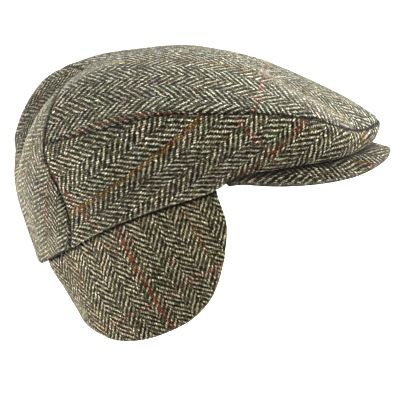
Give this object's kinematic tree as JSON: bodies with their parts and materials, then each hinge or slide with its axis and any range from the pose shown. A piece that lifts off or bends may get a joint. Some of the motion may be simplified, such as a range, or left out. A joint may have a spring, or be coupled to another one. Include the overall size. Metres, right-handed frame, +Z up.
{
  "type": "cap with earflaps",
  "caption": "Flat cap of herringbone tweed with a peak and one wrap-round ear flap, held up as a head holds it.",
  "frame": {"origin": "middle of the head opening, where a head carries the cap", "axes": "+X towards the tip of the peak, +Y towards the wearer's left, +Z up"},
  "size_m": [0.2811, 0.1928, 0.2056],
  "materials": {
    "tweed_top": "woven herringbone wool",
    "tweed_side": "woven herringbone wool",
    "tweed_flap": "woven herringbone wool"
  },
  "bodies": {
    "root": {"top_panel": "tweed_top", "side_panel_right": "tweed_side", "side_panel_left": "tweed_side", "back_panel": "tweed_side", "peak": "tweed_side", "ear_flap": "tweed_flap"}
  },
  "joints": []
}
